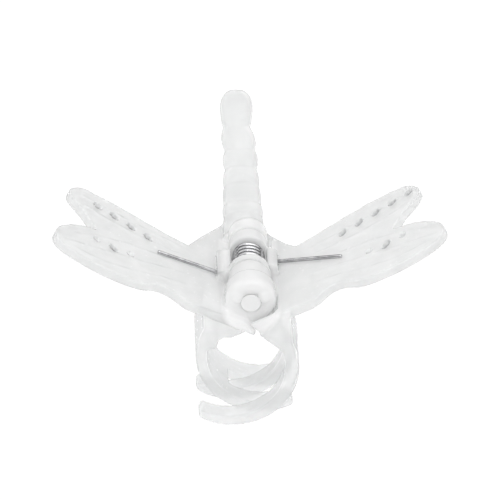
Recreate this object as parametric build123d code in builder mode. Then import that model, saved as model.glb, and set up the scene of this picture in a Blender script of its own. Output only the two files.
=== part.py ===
from build123d import *
import math
import os

os.makedirs("parts", exist_ok=True)

# Dragonfly-shaped orchid clip: two clear moulded halves on one hinge pin, closed by a torsion spring.
# Millimetres, +Z up, +Y towards the tail, X across the wings.
# The origin is the middle of the closed ring that goes round the stem and its stake.

# ---- driving dimensions ----
hinge_z = 10.6          # hinge axis above the ring's centre
mid_y = 5.8             # middle of the spring bay along Y
wing_tilt = 25.0        # each wing pair rises outwards by this angle
wing_gap = 2.5          # hinge axis to the plane of a wing's upper face
wing_t = 1.5            # wing thickness
pit_depth = 0.8         # of the small pits in the wings
split_drop = 2.876      # the right half ends on a sloping face, this far below the axis at the middle
split_slope = 0.94      # how steeply that face falls to the right
split_gap = 0.3         # the left half ends this far under it

left_off = 2.02         # the left jaw's arc is centred this far past the ring's middle
right_off = 2.45        # the same for the right jaw
ring_x = -0.3           # the ring's middle, from the hinge
left_wall = 7.18        # outer face of the left jaw's wall, from the hinge
right_wall = 6.4        # the same for the right jaw
right_wall_top = 5.95   # its wall leans inwards to here under the wing
ring_drop = 10.6        # hinge axis to the arc centres
left_jaw_r = 10.1       # outer radius of the left jaw
right_jaw_r = 10.1      # outer radius of the right jaw
left_jaw_t = 1.7        # thickness of the left jaw
right_jaw_t = 1.6       # thickness of the right jaw at the bottom
right_taper = 0.6       # its wall is this much thicker than its bottom
finger_w = 3.3          # width of a jaw finger
finger_pitch = 3.7      # right, left, right, left from the front
jaw_front = -13.0       # front face of the first finger, from the spring's middle
r1_tip_deg = 31.8       # how far the front right finger runs past the bottom
r2_tip_deg = 33.4       # the same for the rear right finger
left_tip_deg = 29.3     # the same for the left fingers
web_end_deg = 44.0      # the wall splits into fingers this far below the arc centre

head_r = 3.9            # front knuckle, which is the dragonfly's head and thorax
eye_r = 1.25
eye_y = -10.3           # middle of the eyes, from the spring's middle
collar_r = 3.3          # the two knuckles between the head and the spring
rear_r = 3.0            # rear knuckles
play = 0.3              # running gap between the halves

pin_r = 1.1
pin_head_r = 1.5
wire_r = 0.3            # spring wire
coil_r = 2.15           # mean radius of the coil
coil_pitch = 0.88
arm_len = 14.4          # spring arm, from the coil to its end

tilt = math.radians(wing_tilt)
front = jaw_front
r1 = (front, front + finger_w)
l1 = (front + finger_pitch, front + finger_pitch + finger_w)
r2 = (front + 2 * finger_pitch, front + 2 * finger_pitch + finger_w)
l2 = (front + 3 * finger_pitch, front + 3 * finger_pitch + finger_w + 0.4)

head_y = (-11.0, -7.2)
collar_y = (-6.9, -3.6)
bay_y = (-3.3, -1.9)
bay_wall_in = 2.75      # walls beside the coil
bay_wall_left = 4.9
bay_wall_right = 4.4
rear_right_y = (3.45, 6.0)
rear_left_y = (6.3, 9.2)


def at(x, y, z):
    """A point given from the hinge axis and the spring's middle."""
    return (x, y + mid_y, z + hinge_z)


def cut_plane(y):
    """An XZ plane at y whose normal points to the front."""
    return Plane(origin=at(0, y, 0), x_dir=(1, 0, 0), z_dir=(0, -1, 0))


def wing_plane(side, depth=0.0):
    """The plane of a wing's upper face, or depth below it. Local x runs outwards, local y to the tail (right) or the head (left)."""
    n = (-side * math.sin(tilt), 0, math.cos(tilt))
    d = wing_gap + depth
    return Plane(
        origin=at(-n[0] * d, 0, -n[2] * d),
        x_dir=(side * math.cos(tilt), 0, math.sin(tilt)),
        z_dir=n,
    )


# plan of the wing pairs, each in its own plane: s outwards from the hinge, y along the body
right_shoulder = [(2.9, 12.5), (4.0, 10.1), (5.1, 8.3), (6.4, 6.2), (7.6, 4.8)]
right_hind_edge = [(8.2, 4.4), (14.0, 6.2), (20.0, 8.0), (25.0, 8.75)]
right_hind_tip = [(27.6, 8.15), (28.8, 6.3), (28.0, 4.0)]
right_notch = [(25.8, 1.4), (24.1, -2.1)]
right_fore_back = [(27.6, -2.5), (30.3, -4.1)]
right_fore_tip = [(32.2, -6.3), (32.3, -8.6), (30.9, -10.2)]
right_near_edge = [(28.6, -11.4), (25.0, -12.4), (20.6, -12.75), (17.4, -12.15), (15.2, -10.85), (13.2, -10.8), (10.8, -12.4), (8.6, -12.85)]

left_shoulder = [(3.95, 13.8), (6.03, 10.45), (8.05, 7.25)]
left_hind_edge = [(10.1, 3.65), (13.0, 4.3), (17.5, 5.75), (22.0, 7.3), (26.0, 8.2)]
left_hind_tip = [(28.6, 8.3), (30.1, 6.3), (29.2, 4.0)]
left_notch = [(27.4, 1.4), (25.6, -2.0)]
left_fore_back = [(28.0, -2.3), (30.7, -3.9)]
left_fore_tip = [(32.4, -6.2), (32.3, -8.5), (30.8, -10.1)]
left_near_edge = [(28.4, -11.2), (25.0, -12.3), (20.6, -12.7), (17.6, -12.25), (15.2, -11.15), (12.8, -11.6), (10.7, -12.9), (8.6, -13.0)]
inner_s = -1.2


def wing_points(side):
    """Plan points are measured from the middle plane; the wing plane starts at the coil's tangent point."""
    flip, back = side, wing_gap * math.tan(tilt)
    return lambda p: (p[0] - back, p[1] * flip)


def draw_wing(side):
    """The closed outline of a wing pair, its shoulder and its root."""
    w = wing_points(side)
    if side > 0:
        shoulder, hind_edge, hind_tip, notch = right_shoulder, right_hind_edge, right_hind_tip, right_notch
        fore_back, fore_tip, near_edge = right_fore_back, right_fore_tip, right_near_edge
    else:
        shoulder, hind_edge, hind_tip, notch = left_shoulder, left_hind_edge, left_hind_tip, left_notch
        fore_back, fore_tip, near_edge = left_fore_back, left_fore_tip, left_near_edge
    root_near = w((inner_s, jaw_front))
    Polyline(root_near, w((inner_s, shoulder[0][1])), *[w(p) for p in shoulder], w(hind_edge[0]))
    Spline(*[w(p) for p in hind_edge])
    Spline(*[w(p) for p in [hind_edge[-1]] + hind_tip + [notch[0]]])
    Polyline(w(notch[0]), w(notch[1]))
    Spline(*[w(p) for p in [notch[1]] + fore_back])
    Spline(*[w(p) for p in [fore_back[-1]] + fore_tip + [near_edge[0]]])
    Spline(*[w(p) for p in near_edge])
    Line(w(near_edge[-1]), root_near)


def cells(side):
    """(s, y, length, width, turn) of the small oblong pits moulded into the wings."""
    found, back = [], wing_gap * math.tan(tilt)
    s0, y0 = (15.85, 2.8) if side > 0 else (16.95, 1.5)
    for k in range(5 if side > 0 else 4):  # hind wing: one row beside its far edge
        found.append((s0 + 2.8 * k - back, y0 + (0.92 if side > 0 else 1.15) * k, 1.7, 0.95, 60.0))
    for k in range(3):  # fore wing: one row beside its back edge, the middle one the largest
        big = k == 1
        found.append((20.0 + 2.8 * k - back, (-5.4, -5.5, -4.7)[k], 1.9 if big else 1.2, 1.05 if big else 0.8, 60.0))
    return found


def step(p, q, d):
    """The point d from p towards q."""
    n = math.hypot(q[0] - p[0], q[1] - p[1])
    return (p[0] + (q[0] - p[0]) * d / n, p[1] + (q[1] - p[1]) * d / n)


def rounded(before, corner, after, r):
    """A rounding of radius r for a nearly square corner, between two points that are r from it."""
    mid = (0.5 * (before[0] + after[0]), 0.5 * (before[1] + after[1]))
    ThreePointArc(before, step(corner, mid, r * (math.sqrt(2) - 1)), after)


def jaw_outline(side, end_deg, roof, round_out=0.0, round_in=0.0, lip=0.0):
    """Closed XZ outline of one jaw: its web under the wing, its outer wall and its arc, ending end_deg below or past the bottom.

    A lip carries the inner face on by that many degrees, thinning to an edge.
    """
    outer = left_jaw_r if side < 0 else right_jaw_r
    inner = outer - (left_jaw_t if side < 0 else right_jaw_t)
    taper = 0.0 if side < 0 else right_taper
    off = left_off if side < 0 else right_off
    wall = left_wall if side < 0 else right_wall
    cx, cz = ring_x - side * off, -ring_drop
    top = math.degrees(math.acos((wall - side * cx) / outer))

    def on(r, deg, back=0.0):
        a = math.radians(deg)
        return (cx - side * back + side * r * math.cos(a), cz + r * math.sin(a))

    def under(x):  # just inside the wing's thickness
        return x * math.tan(tilt) - (wing_gap + 0.5 * wing_t) / math.cos(tilt)

    half = 0.5 * (top + end_deg)
    roof_end = roof[-1]
    inner_deg = math.degrees(math.asin((roof_end[1] - cz) / inner))
    wall_top = left_wall if side < 0 else right_wall_top
    Polyline(
        (side * roof[0][0], roof[0][1]),
        *[(side * p[0], p[1]) for p in (left_crest if side < 0 else [])],
        (side * wall_top, under(wall_top)),
        on(outer, top),
    )
    out_end, in_end = on(outer, end_deg), on(inner, end_deg - lip, taper)
    arc_out, arc_in, line_out, line_in = out_end, in_end, out_end, in_end
    if round_out:
        arc_out, line_out = on(outer, end_deg + math.degrees(round_out / outer)), step(out_end, in_end, round_out)
    if round_in:
        arc_in, line_in = on(inner, end_deg + math.degrees(round_in / inner), taper), step(in_end, out_end, round_in)
    ThreePointArc(on(outer, top), on(outer, half), arc_out)
    if round_out:
        rounded(arc_out, out_end, line_out, round_out)
    if lip:
        Polyline(line_out, on(inner + 0.55, end_deg - 0.75 * lip, taper), line_in)
    else:
        Line(line_out, line_in)
    if round_in:
        rounded(line_in, in_end, arc_in, round_in)
    ThreePointArc(arc_in, on(inner, 0.5 * (inner_deg + end_deg), taper), on(inner, inner_deg, taper))
    Polyline(on(inner, inner_deg, taper), *[(side * p[0], p[1]) for p in reversed(roof)])
    return out_end[0]


def finger(side, y0, y1, end_deg, roof, near_r, far_r):
    """One jaw finger: its tip is rounded towards the stem and at its two corners seen from above."""
    with BuildSketch(cut_plane(y1)) as sketch:
        with BuildLine():
            tip_x = jaw_outline(side, -90 - end_deg, roof, 0.55 if side < 0 else 0.25, 0.85)
        make_face()
    extrude(sketch.sketch, amount=y1 - y0)
    for edge_y, r, inwards in ((y0, near_r, 1), (y1, far_r, -1)):
        with BuildSketch(Plane(origin=at(0, 0, -ring_drop - 4.5), x_dir=(1, 0, 0), z_dir=(0, 0, -1))) as corner:
            # local y runs to the head here
            with Locations((tip_x + side * (0.5 * r - 0.5), -(edge_y + inwards * (0.5 * r - 0.5)))):
                Rectangle(r + 1.0, r + 1.0)
            with Locations((tip_x + side * r, -(edge_y + inwards * r))):
                Circle(r, mode=Mode.SUBTRACT)
        extrude(corner.sketch, amount=8, mode=Mode.SUBTRACT)


def bay_wall(side, outer_x, top_in, top_out, y0, y1):
    """A wall beside the coil, up from the wing's root."""
    with BuildSketch(cut_plane(y1)) as section:
        with BuildLine():
            Polyline(
                (side * bay_wall_in, -2.2),
                (side * bay_wall_in, top_in),
                (side * (bay_wall_in + 0.45), top_in),
                (side * outer_x, top_out),
                (side * outer_x, -1.3),
                (side * bay_wall_in, -2.2),
            )
        make_face()
    extrude(section.sketch, amount=y1 - y0)


def arm_channel(side, start, end, width):
    """Room over the wing's face for a spring arm, along its centre line from start to end."""
    du, dv = end[0] - start[0], end[1] - start[1]
    with BuildSketch(wing_plane(side)) as room:
        with Locations(Location((0.5 * (start[0] + end[0]), 0.5 * (start[1] + end[1])), math.degrees(math.atan2(dv, du)))):
            Rectangle(math.hypot(du, dv), width)
    extrude(room.sketch, amount=0.78, mode=Mode.SUBTRACT)


right_roof = [(-0.05, -2.83), (4.6, -7.2)]
front_roof = [(-0.05, -2.83), (1.2, -4.0), (1.4, -4.75), (4.65, -7.55)]
left_roof = [(-1.6, -5.0), (0.1, -5.85), (1.6, -6.75), (2.9, -7.3), (4.1, -7.3), (4.75, -7.75), (5.05, -8.5), (5.2, -9.4)]
left_crest = [(1.0, -2.55)]


def beyond_split(offset, above):
    """The half plane above, or below, the sloping face between the halves, offset down from the right half's face."""
    n = math.hypot(split_slope, 1.0)
    nx, nz = split_slope / n, 1.0 / n
    d = split_drop / n + offset
    reach = 30.0 if above else -30.0
    with BuildSketch(cut_plane(20)) as area:
        with Locations(Location((nx * (reach - d), nz * (reach - d)), -math.degrees(math.atan(split_slope)))):
            Rectangle(120, 60)
    extrude(area.sketch, amount=40, mode=Mode.SUBTRACT)


def extrude_y(y0, y1):
    extrude(amount=y1 - y0)


# ---- tail: (y, z) of the segment joints, half width, half height, distance to the left, and the swell up to the next joint ----
tail_joints = [
    (8.6, -0.75, 3.10, 1.45, 0.56, 0.10),
    (14.4, -0.50, 3.00, 1.42, 0.54, 0.15),
    (17.2, -0.04, 2.90, 1.40, 0.58, 0.14),
    (20.9, 0.98, 2.72, 1.36, 0.63, 0.21),
    (24.0, 2.28, 2.42, 1.30, 0.65, 0.36),
    (26.8, 3.95, 2.33, 1.26, 0.70, 0.43),
    (30.0, 6.28, 2.05, 1.20, 1.15, 0.0),
]
tail_tip = (34.8, 10.05, 0.9, 0.6, 1.10)


def tail_plane(p, q, share):
    """A cross-section plane of the tail between joints p and q."""
    x, y, z = (-(p[4] + (q[4] - p[4]) * share), p[0] + (q[0] - p[0]) * share, p[1] + (q[1] - p[1]) * share)
    dy, dz = q[0] - p[0], q[1] - p[1]
    n = math.hypot(dy, dz)
    return Plane(origin=at(x, y, z), x_dir=(1, 0, 0), z_dir=(0, dy / n, dz / n))


def joint_plane(k):
    """The plane of joint k, square to the mean of its two neighbours' directions."""
    pts = tail_joints + [tail_tip]
    a, b = pts[max(0, k - 1)], pts[min(len(pts) - 1, k + 1)]
    dy, dz = b[0] - a[0], b[1] - a[1]
    n = math.hypot(dy, dz)
    return Plane(origin=at(-pts[k][4], pts[k][0], pts[k][1]), x_dir=(1, 0, 0), z_dir=(0, dy / n, dz / n))


# ================= left half: wings, jaw, head, rear knuckle, tail =================
with BuildPart() as left_half:
    # wing pair with its shoulder
    with BuildSketch(wing_plane(-1)):
        with BuildLine():
            draw_wing(-1)
        make_face()
    extrude(amount=-wing_t)
    # jaw: the wall with its web
    with BuildSketch(cut_plane(l2[1])):
        with BuildLine():
            jaw_outline(-1, -web_end_deg, left_roof, lip=11.0)
        make_face()
    extrude_y(l1[0], l2[1])
    # its root lies under the right half's
    beyond_split(split_gap, True)
    # the jaw's two fingers, which reach past the middle below
    for y0, y1 in (l1, l2):
        finger(-1, y0, y1, left_tip_deg, left_roof, 0.9, 0.7)
    # the wall beside the coil
    bay_wall(-1, bay_wall_left, 1.1, 0.75, bay_y[0], rear_right_y[0] - play)
    # room for the other half's knuckles
    for y0, y1, r in ((head_y[1], bay_y[0], collar_r + play), (rear_right_y[0] - play, rear_left_y[0], rear_r + play)):
        with BuildSketch(cut_plane(y1)):
            Circle(r)
        extrude(amount=y1 - y0, mode=Mode.SUBTRACT)
    # front knuckle with its rounded face: the thorax and head
    with BuildSketch(Plane(origin=at(0, 0, 0), x_dir=(0, 0, 1), z_dir=(-1, 0, 0))):
        with BuildLine():
            Polyline((0, head_y[1]), (head_r, head_y[1]), (head_r, -9.7))
            ThreePointArc((head_r, -9.7), (3.5, -10.62), (2.6, head_y[0]))
            Polyline((2.6, head_y[0]), (0, head_y[0]), (0, head_y[1]))
        make_face()
    revolve(axis=Axis(at(0, 0, 0), (0, 1, 0)), revolution_arc=360)
    # two eyes on the head's face
    for x in (-2.0, 2.0):
        with Locations(at(x, eye_y, 0.95)):
            Sphere(eye_r)
    # rear knuckle, and the one in front of the spring
    for y0, y1, r in ((rear_left_y[0], rear_left_y[1], rear_r), (bay_y[0], bay_y[1], collar_r)):
        with BuildSketch(cut_plane(y1)):
            Circle(r)
        extrude(amount=y1 - y0)
    arm_channel(-1, (-0.6, 1.46), (7.0, 1.98), 0.95)
    # tail: segments that swell between narrow joints
    for k in range(len(tail_joints) - 1):
        p, q = tail_joints[k], tail_joints[k + 1]
        with BuildSketch(joint_plane(k)):
            Ellipse(p[2], p[3])
        with BuildSketch(tail_plane(p, q, 0.5)):
            Ellipse(0.5 * (p[2] + q[2]) + p[5], 0.5 * (p[3] + q[3]) + 0.17)
        with BuildSketch(joint_plane(k + 1)):
            Ellipse(q[2], q[3])
        loft()
    k = len(tail_joints) - 1
    p = tail_joints[k]
    q = tail_tip
    with BuildSketch(joint_plane(k)):
        Ellipse(p[2], p[3])
    for share, half_w, half_h in ((0.16, 2.34, 1.32), (0.42, 2.50, 1.42), (0.70, 2.42, 1.30), (0.89, 1.9, 0.98), (1.0, 1.0, 0.5)):
        with BuildSketch(tail_plane(p, q, share)):
            Ellipse(half_w, half_h)
    loft()
    # pin bore, blind at the tail, with a seat for the pin's head
    with BuildSketch(cut_plane(8.7)):
        Circle(pin_r + 0.02)
    extrude(amount=8.7 + 12.5, mode=Mode.SUBTRACT)
    with BuildSketch(cut_plane(head_y[0] + 0.6)):
        Circle(pin_head_r + 0.05)
    extrude(amount=3, mode=Mode.SUBTRACT)
    # cells of the wings
    for s, y, length, width, turn in cells(-1):
        with BuildSketch(wing_plane(-1)):
            with Locations(Location((s, -y), -turn)):
                SlotOverall(length, width)
        extrude(amount=-pit_depth, mode=Mode.SUBTRACT)

# ================= right half: wings, jaw, collar, rear knuckle =================
with BuildPart() as right_half:
    with BuildSketch(wing_plane(1)):
        with BuildLine():
            draw_wing(1)
        make_face()
    extrude(amount=-wing_t)
    with BuildSketch(cut_plane(r2[1])):
        with BuildLine():
            jaw_outline(1, -web_end_deg, right_roof, lip=11.0)
        make_face()
    extrude_y(r1[0], r2[1])
    beyond_split(0.0, False)
    finger(1, r1[0], r1[1], r1_tip_deg, front_roof, 0.8, 0.8)
    finger(1, r2[0], r2[1], r2_tip_deg, right_roof, 1.5, 0.5)
    # the wall beside the coil
    bay_wall(1, bay_wall_right, 1.1, 0.6, bay_y[1] + play, rear_right_y[0])
    arm_channel(1, (1.0, 3.01), (7.0, -0.31), 0.95)
    # room for the head and for the other half's rear knuckle and tail root
    with BuildSketch(cut_plane(collar_y[0])):
        Circle(head_r + play)
    extrude(amount=collar_y[0] - (head_y[0] - play), mode=Mode.SUBTRACT)
    with BuildSketch(cut_plane(bay_y[1] + play)):
        Circle(collar_r + play)
    extrude(amount=bay_y[1] - bay_y[0] + 2 * play, mode=Mode.SUBTRACT)
    with BuildSketch(cut_plane(head_y[0])):
        Circle(2.22 + eye_r + play)
    extrude(amount=head_y[0] - (eye_y - eye_r - play), mode=Mode.SUBTRACT)
    for y0, y1, x in ((rear_right_y[1], rear_left_y[1] + play, rear_r + 2 * play), (rear_left_y[1], 20, 3.0)):
        with BuildSketch(cut_plane(y1)):
            with Locations((x - 5, -1)):
                Rectangle(10, 10)
        extrude(amount=y1 - y0, mode=Mode.SUBTRACT)
    # the collar beside the spring and the knuckle behind it
    for y0, y1, r in ((collar_y[0], collar_y[1], collar_r), (rear_right_y[0], rear_right_y[1], rear_r)):
        with BuildSketch(cut_plane(y1)):
            Circle(r)
        extrude(amount=y1 - y0)
        with BuildSketch(cut_plane(y1 + 0.5)):
            Circle(pin_r + 0.06)
        extrude(amount=y1 - y0 + 1.0, mode=Mode.SUBTRACT)
    for s, y, length, width, turn in cells(1):
        with BuildSketch(wing_plane(1)):
            with Locations(Location((s, y), turn)):
                SlotOverall(length, width)
        extrude(amount=-pit_depth, mode=Mode.SUBTRACT)

# ================= hinge pin =================
with BuildPart() as hinge_pin:
    with BuildSketch(cut_plane(8.5)):
        Circle(pin_r)
    extrude(amount=8.5 + 10.95)
    with BuildSketch(cut_plane(-10.45)):
        Circle(pin_head_r)
    extrude(amount=0.5)
    chamfer(hinge_pin.edges().filter_by(GeomType.CIRCLE).group_by(Axis.Y)[-1], 0.2)

# ================= torsion spring =================
# Five turns and the 50 degrees between the two arms' tangent points, which lie on the wings' upper faces.
coil_y0 = -1.5
coil_turns = 5 + (180 - 2 * (90 - wing_tilt)) / 360.0
coil_y1 = coil_y0 + coil_turns * coil_pitch
start_deg = -90 - wing_tilt
ct, st = math.cos(tilt), math.sin(tilt)


def coil_plane(y, deg):
    """A plane across the hinge axis at y, with local x at deg in XZ and its normal to the tail."""
    a = math.radians(deg)
    return Plane(origin=at(0, y, 0), x_dir=(math.cos(a), 0, math.sin(a)), z_dir=(0, 1, 0))


def arm_plane(side, y):
    """The plane of an arm's centre line: local x outwards from the coil's tangent point, local y to the tail on the right."""
    n = (-side * st, 0, ct)
    return Plane(
        origin=at(-n[0] * coil_r, y, -n[2] * coil_r), x_dir=(side * ct, 0, st), z_dir=n
    )


lean = math.atan(coil_pitch / (2 * math.pi * coil_r))
arm_skew = math.radians(29.0)  # the right arm bends back towards the front by this
bend_r = 1.3

left_arm = arm_plane(-1, coil_y0)  # local y runs to the head here
right_arm = arm_plane(1, coil_y1)

# a short straight, a bend, then the long straight of the right arm
a = (0.5 * math.cos(lean), 0.5 * math.sin(lean))
c = (a[0] + bend_r * math.sin(lean), a[1] - bend_r * math.cos(lean))


def on_bend(ang):
    return (c[0] - bend_r * math.sin(ang), c[1] + bend_r * math.cos(ang))


b = on_bend(-arm_skew)
rest = (arm_len - b[0]) / math.cos(arm_skew)


def world(plane, p):
    return plane.from_local_coords((p[0], p[1], 0))


left_end = world(left_arm, (arm_len * math.cos(lean), arm_len * math.sin(lean)))
coil_edge = Edge.make_helix(
    pitch=coil_pitch, height=coil_turns * coil_pitch, radius=coil_r, lefthand=True
).moved(coil_plane(coil_y0, start_deg).location)
spring_edges = [
    Edge.make_line(left_end, world(left_arm, (0, 0))),
    coil_edge,
    Edge.make_line(world(right_arm, (0, 0)), world(right_arm, a)),
    Edge.make_three_point_arc(world(right_arm, a), world(right_arm, on_bend(0.5 * (lean - arm_skew))), world(right_arm, b)),
    Edge.make_line(world(right_arm, b), world(right_arm, (b[0] + rest * math.cos(arm_skew), b[1] - rest * math.sin(arm_skew)))),
]
spring_wire = Wire(spring_edges)

with BuildPart() as torsion_spring:
    with BuildLine() as coil_line:
        add(spring_wire)
    with BuildSketch(Plane(origin=left_end, z_dir=world(left_arm, (0, 0)) - left_end)):
        Circle(wire_r)
    sweep(path=spring_wire)

print("halves", left_half.part.volume, right_half.part.volume, "pin", hinge_pin.part.volume, "spring", torsion_spring.part.volume, torsion_spring.part.is_valid)

for name, made in (("left_half", left_half), ("right_half", right_half), ("hinge_pin", hinge_pin), ("torsion_spring", torsion_spring)):
    made.part.label = name
    export_step(made.part, f"parts/{name}.step")
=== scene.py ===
import math

import bmesh
import bpy
import numpy as np
from mathutils import Matrix, Vector

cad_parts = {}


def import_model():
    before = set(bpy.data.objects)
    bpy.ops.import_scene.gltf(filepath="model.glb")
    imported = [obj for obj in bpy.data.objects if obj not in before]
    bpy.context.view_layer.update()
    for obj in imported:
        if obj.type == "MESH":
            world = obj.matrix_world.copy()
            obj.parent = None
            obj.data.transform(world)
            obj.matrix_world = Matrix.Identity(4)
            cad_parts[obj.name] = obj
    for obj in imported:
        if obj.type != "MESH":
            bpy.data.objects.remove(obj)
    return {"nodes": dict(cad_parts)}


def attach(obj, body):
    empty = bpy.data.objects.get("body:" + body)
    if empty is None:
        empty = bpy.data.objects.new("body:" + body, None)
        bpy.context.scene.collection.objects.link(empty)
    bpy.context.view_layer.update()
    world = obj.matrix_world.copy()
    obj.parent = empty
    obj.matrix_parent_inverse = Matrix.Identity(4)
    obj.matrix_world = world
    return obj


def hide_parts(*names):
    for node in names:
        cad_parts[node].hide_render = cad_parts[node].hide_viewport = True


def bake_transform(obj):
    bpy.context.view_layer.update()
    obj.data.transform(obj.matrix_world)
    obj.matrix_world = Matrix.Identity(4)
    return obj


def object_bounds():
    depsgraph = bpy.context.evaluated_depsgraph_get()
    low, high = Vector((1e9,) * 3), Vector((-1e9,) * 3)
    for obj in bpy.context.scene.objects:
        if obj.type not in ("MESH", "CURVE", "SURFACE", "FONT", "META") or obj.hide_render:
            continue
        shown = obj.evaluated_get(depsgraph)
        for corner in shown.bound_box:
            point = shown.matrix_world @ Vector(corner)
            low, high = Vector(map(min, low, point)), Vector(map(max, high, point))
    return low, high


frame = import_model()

# A clear dragonfly-shaped orchid clip: two moulded halves on a clear pin, with a wire torsion spring.
# Metres. The moulded halves are worked on in millimetres and put back in metres.

cad_low, cad_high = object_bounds()
scene = bpy.context.scene
nodes = frame["nodes"]
MM = 0.001

HINGE_Z = 10.6
MID_Y = 5.8
TILT = math.radians(25.0)
WING_GAP = 2.5
WING_T = 1.5
BACK = WING_GAP * math.tan(TILT)
CT, ST = math.cos(TILT), math.sin(TILT)


# ---------------------------------------------------------------- helpers
def smoothstep(a, b, x):
    t = np.clip((x - a) / (b - a), 0.0, 1.0)
    return t * t * (3.0 - 2.0 * t)


def link(obj):
    scene.collection.objects.link(obj)
    return obj


def mesh_arrays(me):
    co = np.zeros(len(me.vertices) * 3)
    me.vertices.foreach_get("co", co)
    no = np.zeros(len(me.vertices) * 3)
    me.vertices.foreach_get("normal", no)
    return co.reshape(-1, 3), no.reshape(-1, 3)


def set_co(me, co):
    me.vertices.foreach_set("co", np.asarray(co, float).ravel())
    me.update()


def applied(obj):
    """The object's mesh with its modifiers in it."""
    dg = bpy.context.evaluated_depsgraph_get()
    me = bpy.data.meshes.new_from_object(obj.evaluated_get(dg), depsgraph=dg)
    old = obj.data
    obj.modifiers.clear()
    obj.data = me
    bpy.data.meshes.remove(old)
    return obj


def seg_dist(px, py, a, b):
    """Distance of points from a segment, and how far along it they are."""
    ax, ay = a
    dx, dy = b[0] - ax, b[1] - ay
    t = np.clip(((px - ax) * dx + (py - ay) * dy) / (dx * dx + dy * dy), 0, 1)
    return np.hypot(px - ax - t * dx, py - ay - t * dy), t


def path_dist(px, py, pts):
    best = np.full(px.shape, 1e9)
    for a, b in zip(pts[:-1], pts[1:]):
        d, _ = seg_dist(px, py, a, b)
        best = np.minimum(best, d)
    return best


# ---------------------------------------------------------------- the wings' relief

# veins that fan out from the root along each wing
VEINS = [
    [(9.0, 1.6), (14.0, 2.6), (19.0, 3.6), (24.0, 4.9), (27.6, 6.0)],
    [(9.5, -0.4), (14.0, -0.1), (19.0, 0.6), (24.0, 2.0), (27.2, 3.4)],
    [(10.0, -2.6), (15.0, -2.9), (20.0, -3.0), (25.0, -3.9), (29.0, -5.6)],
    [(10.5, -5.2), (16.0, -6.2), (21.5, -7.0), (27.0, -7.9), (31.0, -8.4)],
    [(11.0, -8.4), (15.0, -8.9), (20.0, -10.3), (25.0, -10.7), (29.0, -9.9)],
]


def wing_relief(co, side):
    """Raises veins, and a soft swell between them, on the upper face of a wing pair."""
    x = co[:, 0] * side
    y = co[:, 1] - MID_Y
    z = co[:, 2] - HINGE_Z
    s = x * CT + z * ST + BACK
    h = -x * ST + z * CT + WING_GAP  # height over the upper face
    out = co.copy()
    on_top = smoothstep(-0.62, -0.06, h) * (h < 0.5)
    on_wing = smoothstep(8.5, 12.5, s)
    lift = np.zeros(len(co))
    for k, v in enumerate(VEINS):
        d = path_dist(s, y, v)
        lift += 0.06 * np.exp(-((d / 0.42) ** 2))
    # a soft swell between the veins
    lift += 0.04 * np.sin(s * 1.55 + 0.6 * y) * np.cos(y * 1.15 - 0.3 * s)
    lift *= on_wing * on_top
    n = np.array([-side * ST, 0.0, CT])
    out += np.outer(lift, n)
    return out


def half_piece(node, name, side, voxel, rounds):
    """A moulded half from its CAD solid: rounded edges as a mould leaves them, then the wings' relief."""
    src = nodes[node]
    me = src.data.copy()
    me.materials.clear()
    me.transform(Matrix.Scale(1000.0, 4))
    bm = bmesh.new()
    bm.from_mesh(me)
    bmesh.ops.remove_doubles(bm, verts=bm.verts, dist=1e-4)
    bm.to_mesh(me)
    bm.free()
    obj = link(bpy.data.objects.new(name, me))
    m = obj.modifiers.new("remesh", "REMESH")
    m.mode = "VOXEL"
    m.voxel_size = voxel
    m.adaptivity = 0.0
    m.use_smooth_shade = True
    m = obj.modifiers.new("smooth", "SMOOTH")
    m.factor = 0.5
    m.iterations = rounds
    applied(obj)
    co, _ = mesh_arrays(obj.data)
    co = wing_relief(co, side)
    set_co(obj.data, co * MM)
    obj.data.shade_smooth()
    return obj


# ---------------------------------------------------------------- materials
def new_material(name):
    mat = bpy.data.materials.new(name)
    mat.use_nodes = True
    nt = mat.node_tree
    nt.nodes.clear()
    out = nt.nodes.new("ShaderNodeOutputMaterial")
    return mat, nt, out


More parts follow.
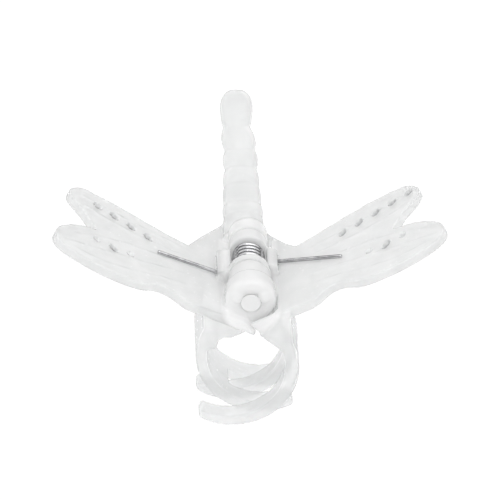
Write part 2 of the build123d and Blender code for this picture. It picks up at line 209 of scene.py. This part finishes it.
def pits(N, L, split, side):
    """How near a point is to one of the small pits in the wings, from 0 to 1: the mask of the painted shade in
    the pits.
    """

    def calc(op, *terms):
        node = N.new("ShaderNodeMath")
        node.operation = op
        for k, term in enumerate(terms):
            if isinstance(term, (int, float)):
                node.inputs[k].default_value = term
            else:
                L.new(term, node.inputs[k])
        return node.outputs[0]

    rise = calc("MULTIPLY_ADD", split.outputs["Z"], 1000.0 * ST, BACK - HINGE_Z * ST)
    s = calc("MULTIPLY_ADD", split.outputs["X"], 1000.0 * side * CT, rise)
    y = calc("MULTIPLY_ADD", split.outputs["Y"], 1000.0, -MID_Y)

    def row(s0, y0, ds, dy, last, r):
        k = calc("ROUND", calc("DIVIDE", calc("SUBTRACT", s, s0), ds))
        k = calc("MINIMUM", calc("MAXIMUM", k, 0.0), float(last))
        a = calc("SUBTRACT", s, calc("MULTIPLY_ADD", k, ds, s0))
        b = calc("SUBTRACT", y, calc("MULTIPLY_ADD", k, dy, y0))
        along = calc("ADD", calc("MULTIPLY", a, 0.5), calc("MULTIPLY", b, 0.866))
        across = calc("SUBTRACT", calc("MULTIPLY", a, 0.866), calc("MULTIPLY", b, 0.5))
        along = calc("MULTIPLY", along, 0.55)
        d = calc("SQRT", calc("ADD", calc("MULTIPLY", along, along), calc("MULTIPLY", across, across)))
        near = N.new("ShaderNodeMapRange")
        near.interpolation_type = "SMOOTHSTEP"
        near.inputs["From Min"].default_value = r + 0.15
        near.inputs["From Max"].default_value = r - 0.15
        L.new(d, near.inputs["Value"])
        return near.outputs["Result"]

    hind = row(15.85, 2.8, 2.8, 0.92, 4, 0.45) if side > 0 else row(16.95, 1.5, 2.8, 1.15, 3, 0.45)
    fore = row(22.8, -5.5, 2.8, 0.8, 0, 0.5)
    # only down to the pits' floors, not on the wings' undersides
    level = calc("MULTIPLY_ADD", split.outputs["Z"], 1000.0 * CT, WING_GAP - HINGE_Z * CT)
    level = calc("MULTIPLY_ADD", split.outputs["X"], -1000.0 * side * ST, level)
    upper = N.new("ShaderNodeMapRange")
    upper.interpolation_type = "SMOOTHSTEP"
    upper.inputs["From Min"].default_value = -1.2
    upper.inputs["From Max"].default_value = -0.95
    L.new(level, upper.inputs["Value"])
    return calc("MULTIPLY", calc("MAXIMUM", hind, fore), upper.outputs["Result"])


def clear_plastic(name, seed, face=None, edge=None, glass=None, denser=1.0, inner=1.0, side=0):
    """Natural clear moulding with a milky haze: part clear, part scattering, with flow marks and fine dimpling.

    The haze is denser in the thick knuckles round the hinge, and a little clearer in the jaws than in the wings.
    The knuckles' haze is also painted paler by position, as painted light, and the wings' pits are painted
    darker, as painted shade.
    """
    face = HAZE_FACE if face is None else face
    edge = HAZE_EDGE if edge is None else edge
    glass = GLASS_EDGE if glass is None else glass
    mat, nt, out = new_material(name)
    N, L = nt.nodes, nt.links
    coord = N.new("ShaderNodeTexCoord")
    shift = N.new("ShaderNodeMapping")
    shift.inputs["Location"].default_value = (seed * 0.37, seed * 0.11, seed * 0.23)
    L.new(coord.outputs["Object"], shift.inputs["Vector"])

    flow = N.new("ShaderNodeTexNoise")  # slow flow marks of the melt
    flow.inputs["Scale"].default_value = 240.0
    flow.inputs["Detail"].default_value = 3.0
    flow.inputs["Roughness"].default_value = 0.5
    flow.inputs["Distortion"].default_value = 0.6
    L.new(shift.outputs["Vector"], flow.inputs["Vector"])

    fine = N.new("ShaderNodeTexNoise")  # fine dimpling of the surface
    fine.inputs["Scale"].default_value = 1500.0
    fine.inputs["Detail"].default_value = 3.0
    L.new(shift.outputs["Vector"], fine.inputs["Vector"])

    tint = N.new("ShaderNodeValToRGB")
    tint.color_ramp.elements[0].position = 0.25
    tint.color_ramp.elements[0].color = (*(HAZE_DARK if side else HAZE_PIN), 1)
    tint.color_ramp.elements[1].position = 0.75
    tint.color_ramp.elements[1].color = (*(HAZE_LIGHT if side else HAZE_PIN), 1)
    L.new(flow.outputs["Fac"], tint.inputs["Fac"])

    rough = N.new("ShaderNodeMapRange")
    rough.inputs["From Min"].default_value = 0.3
    rough.inputs["From Max"].default_value = 0.7
    rough.inputs["To Min"].default_value = 0.16
    rough.inputs["To Max"].default_value = 0.28
    L.new(fine.outputs["Fac"], rough.inputs["Value"])

    bump1 = N.new("ShaderNodeBump")
    bump1.inputs["Strength"].default_value = 0.30
    bump1.inputs["Distance"].default_value = 0.00025
    L.new(flow.outputs["Fac"], bump1.inputs["Height"])
    bump2 = N.new("ShaderNodeBump")
    bump2.inputs["Strength"].default_value = 0.15
    bump2.inputs["Distance"].default_value = 0.00005
    L.new(fine.outputs["Fac"], bump2.inputs["Height"])
    L.new(bump1.outputs["Normal"], bump2.inputs["Normal"])

    haze = N.new("ShaderNodeBsdfPrincipled")
    haze.inputs["IOR"].default_value = 1.49
    haze.inputs["Subsurface Weight"].default_value = inner
    haze.inputs["Subsurface Radius"].default_value = (1.0, 1.0, 1.0)
    haze.inputs["Subsurface Scale"].default_value = 0.003
    haze.inputs["Specular IOR Level"].default_value = 0.35
    L.new(rough.outputs["Result"], haze.inputs["Roughness"])
    L.new(bump2.outputs["Normal"], haze.inputs["Normal"])

    through = N.new("ShaderNodeBsdfTransparent")
    through.inputs["Color"].default_value = (0.985, 0.988, 0.988, 1)

    p = N.new("ShaderNodeBsdfPrincipled")  # the edges, where light crosses the most plastic
    p.inputs["Transmission Weight"].default_value = 1.0
    p.inputs["IOR"].default_value = 1.49
    p.inputs["Base Color"].default_value = EDGE_TINT
    L.new(rough.outputs["Result"], p.inputs["Roughness"])
    L.new(bump2.outputs["Normal"], p.inputs["Normal"])

    facing = N.new("ShaderNodeLayerWeight")
    facing.inputs["Blend"].default_value = 0.5
    L.new(bump1.outputs["Normal"], facing.inputs["Normal"])
    body = N.new("ShaderNodeMapRange")
    body.inputs["From Min"].default_value = 0.2
    body.inputs["From Max"].default_value = 0.9
    body.inputs["To Min"].default_value = face
    body.inputs["To Max"].default_value = edge
    L.new(facing.outputs["Facing"], body.inputs["Value"])

    # where the moulding is thick round the hinge, and where it is down in the jaws
    split = N.new("ShaderNodeSeparateXYZ")
    L.new(coord.outputs["Object"], split.inputs[0])
    level = N.new("ShaderNodeCombineXYZ")
    L.new(split.outputs["X"], level.inputs["X"])
    L.new(split.outputs["Z"], level.inputs["Z"])
    away = N.new("ShaderNodeVectorMath")
    away.operation = "DISTANCE"
    L.new(level.outputs["Vector"], away.inputs[0])
    away.inputs[1].default_value = (0.0, 0.0, HINGE_Z * MM)
    knuckle = N.new("ShaderNodeMapRange")
    knuckle.interpolation_type = "SMOOTHSTEP"
    knuckle.inputs["From Min"].default_value = 0.0048
    knuckle.inputs["From Max"].default_value = 0.0036
    knuckle.inputs["To Min"].default_value = 0.0
    before = N.new("ShaderNodeMapRange")  # not in the tail
    before.inputs["From Min"].default_value = 0.0150
    before.inputs["From Max"].default_value = 0.0142
    before.inputs["To Min"].default_value = 0.0
    before.inputs["To Max"].default_value = KNUCKLE_HAZE_AND_LIGHT * denser
    L.new(split.outputs["Y"], before.inputs["Value"])
    L.new(before.outputs["Result"], knuckle.inputs["To Max"])
    L.new(away.outputs["Value"], knuckle.inputs["Value"])
    jaw = N.new("ShaderNodeMapRange")
    jaw.interpolation_type = "SMOOTHSTEP"
    jaw.inputs["From Min"].default_value = 0.0070
    jaw.inputs["From Max"].default_value = 0.0040
    jaw.inputs["To Min"].default_value = 0.0
    jaw.inputs["To Max"].default_value = CLEAR_JAW * denser
    L.new(split.outputs["Z"], jaw.inputs["Value"])
    thick = N.new("ShaderNodeMath")
    thick.operation = "MAXIMUM"
    L.new(knuckle.outputs["Result"], thick.inputs[0])
    L.new(jaw.outputs["Result"], thick.inputs[1])
    rest = N.new("ShaderNodeMath")  # 1 - thick
    rest.operation = "SUBTRACT"
    rest.inputs[0].default_value = 1.0
    L.new(thick.outputs[0], rest.inputs[1])
    dense = N.new("ShaderNodeMath")  # knuckle + body * (1 - thick)
    dense.operation = "MULTIPLY_ADD"
    L.new(body.outputs["Result"], dense.inputs[0])
    L.new(rest.outputs[0], dense.inputs[1])
    L.new(knuckle.outputs["Result"], dense.inputs[2])
    painted_knuckle_light = N.new("ShaderNodeMix")  # painted light: the knuckles' haze colour is painted paler by position, on top of their denser haze
    painted_knuckle_light.data_type = "RGBA"
    L.new(knuckle.outputs["Result"], painted_knuckle_light.inputs[0])
    L.new(tint.outputs["Color"], painted_knuckle_light.inputs[6])
    painted_knuckle_light.inputs[7].default_value = (0.985, 0.987, 0.987, 1)
    if side:
        shade = N.new("ShaderNodeMix")  # painted shade: the pits are painted darker, where their walls would turn the light away
        shade.data_type = "RGBA"
        L.new(pits(N, L, split, side), shade.inputs[0])
        L.new(painted_knuckle_light.outputs[2], shade.inputs[6])
        shade.inputs[7].default_value = (*PAINTED_PIT_SHADE, 1)
        L.new(shade.outputs[2], haze.inputs["Base Color"])
    else:
        L.new(painted_knuckle_light.outputs[2], haze.inputs["Base Color"])

    soft = N.new("ShaderNodeMixShader")
    L.new(dense.outputs[0], soft.inputs[0])
    L.new(through.outputs["BSDF"], soft.inputs[1])
    L.new(haze.outputs["BSDF"], soft.inputs[2])
    share = N.new("ShaderNodeMapRange")
    share.interpolation_type = "SMOOTHSTEP"
    share.inputs["From Min"].default_value = 0.55
    share.inputs["From Max"].default_value = 0.95
    share.inputs["To Min"].default_value = 0.0
    share.inputs["To Max"].default_value = glass
    L.new(facing.outputs["Facing"], share.inputs["Value"])
    rim = N.new("ShaderNodeMath")
    rim.operation = "MULTIPLY"
    L.new(share.outputs["Result"], rim.inputs[0])
    L.new(rest.outputs[0], rim.inputs[1])
    mix = N.new("ShaderNodeMixShader")
    L.new(rim.outputs[0], mix.inputs[0])
    L.new(soft.outputs[0], mix.inputs[1])
    L.new(p.outputs["BSDF"], mix.inputs[2])
    L.new(mix.outputs[0], out.inputs["Surface"])
    return mat


HAZE_DARK = (0.75, 0.755, 0.755)
HAZE_LIGHT = (0.85, 0.852, 0.852)
HAZE_FACE = 0.48
# how dense the haze is in the knuckles, and how far their colour is painted paler (painted light)
KNUCKLE_HAZE_AND_LIGHT = 0.85
CLEAR_JAW = 0.40
HAZE_PIN = (0.96, 0.962, 0.962)
# the colour of the painted shade in the wings' pits
PAINTED_PIT_SHADE = (0.08, 0.082, 0.082)
HAZE_EDGE = 0.78
GLASS_EDGE = 0.75
EDGE_TINT = (0.66, 0.68, 0.69, 1)


def steel(name, light, dark, along_scale, rough_lo, rough_hi):
    """Bright drawn steel: draw marks along the wire, slight darkening in patches."""
    mat, nt, out = new_material(name)
    N, L = nt.nodes, nt.links
    coord = N.new("ShaderNodeTexCoord")
    stretch = N.new("ShaderNodeMapping")
    stretch.inputs["Scale"].default_value = along_scale
    L.new(coord.outputs["Object"], stretch.inputs["Vector"])
    marks = N.new("ShaderNodeTexNoise")
    marks.inputs["Scale"].default_value = 4200.0
    marks.inputs["Detail"].default_value = 3.0
    L.new(stretch.outputs["Vector"], marks.inputs["Vector"])
    patches = N.new("ShaderNodeTexNoise")
    patches.inputs["Scale"].default_value = 700.0
    patches.inputs["Detail"].default_value = 2.0
    L.new(coord.outputs["Object"], patches.inputs["Vector"])
    ramp = N.new("ShaderNodeValToRGB")
    ramp.color_ramp.elements[0].position = 0.35
    ramp.color_ramp.elements[0].color = (*dark, 1)
    ramp.color_ramp.elements[1].position = 0.65
    ramp.color_ramp.elements[1].color = (*light, 1)
    L.new(patches.outputs["Fac"], ramp.inputs["Fac"])
    rough = N.new("ShaderNodeMapRange")
    rough.inputs["From Min"].default_value = 0.3
    rough.inputs["From Max"].default_value = 0.7
    rough.inputs["To Min"].default_value = rough_lo
    rough.inputs["To Max"].default_value = rough_hi
    L.new(marks.outputs["Fac"], rough.inputs["Value"])
    bump = N.new("ShaderNodeBump")
    bump.inputs["Strength"].default_value = 0.25
    bump.inputs["Distance"].default_value = 0.00001
    L.new(marks.outputs["Fac"], bump.inputs["Height"])
    p = N.new("ShaderNodeBsdfPrincipled")
    p.inputs["Metallic"].default_value = 1.0
    p.inputs["Specular Tint"].default_value = (0.12, 0.12, 0.12, 1)
    L.new(ramp.outputs["Color"], p.inputs["Base Color"])
    L.new(rough.outputs["Result"], p.inputs["Roughness"])
    L.new(bump.outputs["Normal"], p.inputs["Normal"])
    L.new(p.outputs["BSDF"], out.inputs["Surface"])
    return mat


# ---------------------------------------------------------------- the two halves
voxel = 0.195
left = half_piece("left_half", "left_moulding", -1, voxel, 4)
right = half_piece("right_half", "right_moulding", 1, voxel, 4)
left.data.materials.append(clear_plastic("clear_left", 1.0, side=-1))
right.data.materials.append(clear_plastic("clear_right", 2.0, side=1))
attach(left, "left")
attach(right, "right")
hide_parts("left_half")
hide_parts("right_half")

# ---------------------------------------------------------------- the spring
WIRE = 0.3
COIL_R = 2.15
PITCH = 0.88
Y0 = -1.5
TURNS = 5 + 50 / 360.0
Y1 = Y0 + TURNS * PITCH
LEAN = math.atan(PITCH / (2 * math.pi * COIL_R))
ARM = 14.4
SKEW = math.radians(29.0)
BEND = 1.3


def world(x, y, z):
    return Vector((x * MM, (y + MID_Y) * MM, (z + HINGE_Z) * MM))


def arm_point(side, y, u, v):
    """A point of an arm: u outwards from the coil's tangent point, v to the tail on the right and to the head on the left."""
    return world(side * ST * COIL_R + side * CT * u, y + side * v, -CT * COIL_R + ST * u)


def tube(name, pts, radius, sides=14):
    """A wire of round section along pts, with slightly rounded ends."""
    bm = bmesh.new()
    pts = [Vector(p) for p in pts]
    n = len(pts)
    tang = [(pts[min(n - 1, i + 1)] - pts[max(0, i - 1)]).normalized() for i in range(n)]
    ref = tang[0].orthogonal().normalized()
    rings = []

    def ring(centre, t, up, r):
        side = t.cross(up).normalized()
        return [
            bm.verts.new(centre + r * (math.cos(2 * math.pi * k / sides) * up + math.sin(2 * math.pi * k / sides) * side))
            for k in range(sides)
        ]

    for i in range(n):
        ref = (ref - ref.dot(tang[i]) * tang[i]).normalized()
        if i == 0:
            for back, r in ((0.0, 0.80), (0.12, 0.95)):
                rings.append(ring(pts[0] + tang[0] * radius * back, tang[0], ref, radius * r))
            rings.append(ring(pts[0] + tang[0] * radius * 0.35, tang[0], ref, radius))
        elif i == n - 1:
            rings.append(ring(pts[i] - tang[i] * radius * 0.35, tang[i], ref, radius))
            for back, r in ((0.12, 0.95), (0.0, 0.80)):
                rings.append(ring(pts[i] - tang[i] * radius * back, tang[i], ref, radius * r))
        else:
            rings.append(ring(pts[i], tang[i], ref, radius))
    for a, b in zip(rings[:-1], rings[1:]):
        for k in range(sides):
            bm.faces.new((a[k], a[(k + 1) % sides], b[(k + 1) % sides], b[k]))
    for r, flip in ((rings[0], True), (rings[-1], False)):
        bm.faces.new(r[::-1] if flip else r)
    bmesh.ops.recalc_face_normals(bm, faces=bm.faces)
    me = bpy.data.meshes.new(name)
    bm.to_mesh(me)
    bm.free()
    me.shade_smooth()
    return link(bpy.data.objects.new(name, me))


def helix_points(steps):
    pts = []
    for i in range(steps + 1):
        t = i / steps
        a = math.radians(-115.0 + 360.0 * TURNS * t)
        pts.append(world(COIL_R * math.cos(a), Y0 + TURNS * PITCH * t, COIL_R * math.sin(a)))
    return pts


left_arm = [arm_point(-1, Y0, u * math.cos(LEAN), u * math.sin(LEAN)) for u in np.linspace(ARM, 0.15, 40)]
coil_pts = helix_points(360)
coil = tube("spring_coil", left_arm + coil_pts, WIRE * MM)

a0 = (0.5 * math.cos(LEAN), 0.5 * math.sin(LEAN))
c0 = (a0[0] + BEND * math.sin(LEAN), a0[1] - BEND * math.cos(LEAN))


def on_bend(ang):
    return (c0[0] - BEND * math.sin(ang), c0[1] + BEND * math.cos(ang))


b0 = on_bend(-SKEW)
rest_len = (ARM - b0[0]) / math.cos(SKEW)
right_uv = [(0.0, 0.0), a0]
right_uv += [on_bend(LEAN + (-SKEW - LEAN) * k / 8.0) for k in range(1, 9)]
right_uv += [(b0[0] + rest_len * math.cos(SKEW) * t, b0[1] - rest_len * math.sin(SKEW) * t) for t in np.linspace(0.04, 1, 40)]
# the arm starts a little way back round the coil, inside the coil's own wire
lead = helix_points(360)[-3:-1]
arm = tube("spring_arm", lead + [arm_point(1, Y1, u, v) for u, v in right_uv], WIRE * MM * 0.998)

spring_mat = steel("spring_steel", (0.68, 0.68, 0.69), (0.50, 0.50, 0.51), (1.0, 1.0, 1.0), 0.08, 0.18)
coil.data.materials.append(spring_mat)
arm.data.materials.append(spring_mat)
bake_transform(coil)
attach(arm, "right")
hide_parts("torsion_spring")

# ---------------------------------------------------------------- the pin
pin = nodes["hinge_pin"]
pin.data.materials.clear()
pin.data.materials.append(clear_plastic("clear_pin", 3.0, 0.9, 0.9, 0.0, 0.0, 0.0))
pin.data.shade_smooth()

# ---------------------------------------------------------------- floor, light and camera
floor_z = cad_low.z - 0.00005


def floor_mesh():
    bm = bmesh.new()
    n, size = 24, 3.0
    grid = [[bm.verts.new((size * (2 * i / n - 1), size * (2 * j / n - 1), floor_z)) for j in range(n + 1)] for i in range(n + 1)]
    for i in range(n):
        for j in range(n):
            bm.faces.new((grid[i][j], grid[i + 1][j], grid[i + 1][j + 1], grid[i][j + 1]))
    me = bpy.data.meshes.new("floor")
    bm.to_mesh(me)
    bm.free()
    return link(bpy.data.objects.new("floor", me))


floor = floor_mesh()
mat, nt, out = new_material("lit_white_table")
em = nt.nodes.new("ShaderNodeEmission")
em.inputs["Color"].default_value = (1, 1, 1, 1)
em.inputs["Strength"].default_value = 1.0
df = nt.nodes.new("ShaderNodeBsdfDiffuse")
df.inputs["Color"].default_value = (0.06, 0.06, 0.06, 1)
dim = nt.nodes.new("ShaderNodeEmission")
dim.inputs["Color"].default_value = (1, 1, 1, 1)
dim.inputs["Strength"].default_value = 0.85
seen = nt.nodes.new("ShaderNodeLightPath")
pick = nt.nodes.new("ShaderNodeMixShader")
nt.links.new(seen.outputs["Is Camera Ray"], pick.inputs[0])
nt.links.new(dim.outputs[0], pick.inputs[1])
nt.links.new(em.outputs[0], pick.inputs[2])
ad = nt.nodes.new("ShaderNodeAddShader")
nt.links.new(pick.outputs[0], ad.inputs[0])
nt.links.new(df.outputs[0], ad.inputs[1])
nt.links.new(ad.outputs[0], out.inputs["Surface"])
floor.data.materials.append(mat)

world_ = bpy.data.worlds.new("studio")
scene.world = world_
world_.use_nodes = True
wn = world_.node_tree
wn.nodes.clear()
wout = wn.nodes.new("ShaderNodeOutputWorld")
tc = wn.nodes.new("ShaderNodeTexCoord")
sep = wn.nodes.new("ShaderNodeSeparateXYZ")
wn.links.new(tc.outputs["Generated"], sep.inputs[0])
ramp = wn.nodes.new("ShaderNodeValToRGB")
cr = ramp.color_ramp
cr.elements[0].position = 0.0
cr.elements[0].color = (1.0, 1.0, 1.0, 1)
cr.elements[1].position = 1.0
cr.elements[1].color = (1.05, 1.05, 1.05, 1)
for pos, v in ((0.50, 0.95), (0.53, 0.12), (0.67, 0.12), (0.74, 1.15)):
    e = cr.elements.new(pos)
    e.color = (v, v, v, 1)
half = wn.nodes.new("ShaderNodeMath")
half.operation = "MULTIPLY_ADD"
half.inputs[1].default_value = 0.5
half.inputs[2].default_value = 0.5
wn.links.new(sep.outputs["Z"], half.inputs[0])
wn.links.new(half.outputs[0], ramp.inputs["Fac"])
bg1 = wn.nodes.new("ShaderNodeBackground")
bg1.inputs["Strength"].default_value = 1.0
even = wn.nodes.new("ShaderNodeMix")  # the dark band is for the gloss only; the matt light is even
even.data_type = "RGBA"
lp0 = wn.nodes.new("ShaderNodeLightPath")
wn.links.new(lp0.outputs["Is Diffuse Ray"], even.inputs[0])
wn.links.new(ramp.outputs["Color"], even.inputs[6])
even.inputs[7].default_value = (1.05, 1.05, 1.05, 1)
wn.links.new(even.outputs[2], bg1.inputs["Color"])
bg2 = wn.nodes.new("ShaderNodeBackground")
bg2.inputs["Color"].default_value = (1, 1, 1, 1)
bg2.inputs["Strength"].default_value = 1.02
lp = wn.nodes.new("ShaderNodeLightPath")
mx = wn.nodes.new("ShaderNodeMixShader")
wn.links.new(lp.outputs["Is Camera Ray"], mx.inputs[0])
wn.links.new(bg1.outputs[0], mx.inputs[1])
wn.links.new(bg2.outputs[0], mx.inputs[2])
wn.links.new(mx.outputs[0], wout.inputs["Surface"])

scene.view_settings.view_transform = "Standard"
scene.view_settings.look = "None"
scene.view_settings.exposure = 0.0
scene.view_settings.gamma = 1.0


def area_light(name, at, aim, size, power):
    ld = bpy.data.lights.new(name, "AREA")
    ld.shape = "RECTANGLE"
    ld.size, ld.size_y = size
    ld.energy = power
    lo = link(bpy.data.objects.new(name, ld))
    lo.location = at
    lo.rotation_mode = "QUATERNION"
    lo.rotation_quaternion = (Vector(aim) - Vector(at)).to_track_quat("-Z", "Y")
    lo.visible_diffuse = False
    return lo


area_light("soft_top", (0.06, -0.30, 0.50), (0, 0.01, 0.01), (0.5, 0.25), 1.0)
scene.cycles.transparent_max_bounces = 48
scene.cycles.sample_clamp_indirect = 2.0

# camera: the photograph's azimuth and elevation, seen from far away
PX_PER_MM = 6.55
AZ, EL = math.radians(-1.5), math.radians(32.0)
LENS = 900.0
back = Vector((math.sin(AZ) * math.cos(EL), -math.cos(AZ) * math.cos(EL), math.sin(EL)))
right_v = Vector((math.cos(AZ), math.sin(AZ), 0))
up_v = back.cross(right_v)
ref = Vector((0, MID_Y, HINGE_Z)) * MM  # the hinge's middle, at pixel (249, 265)
centre = ref + (250.0 - 249.0) / PX_PER_MM * MM * right_v + (265.0 - 250.0) / PX_PER_MM * MM * up_v
dist = (500.0 / PX_PER_MM * MM / 2) / (18.0 / LENS)
cam_data = bpy.data.cameras.new("camera")
cam_data.lens = LENS
cam_data.sensor_width = 36.0
cam_data.clip_start, cam_data.clip_end = 0.1, 20.0
cam = link(bpy.data.objects.new("camera", cam_data))
cam.rotation_mode = "QUATERNION"
cam.location = centre + back * dist
cam.rotation_quaternion = (-back).to_track_quat("-Z", "Y")
scene.camera = cam
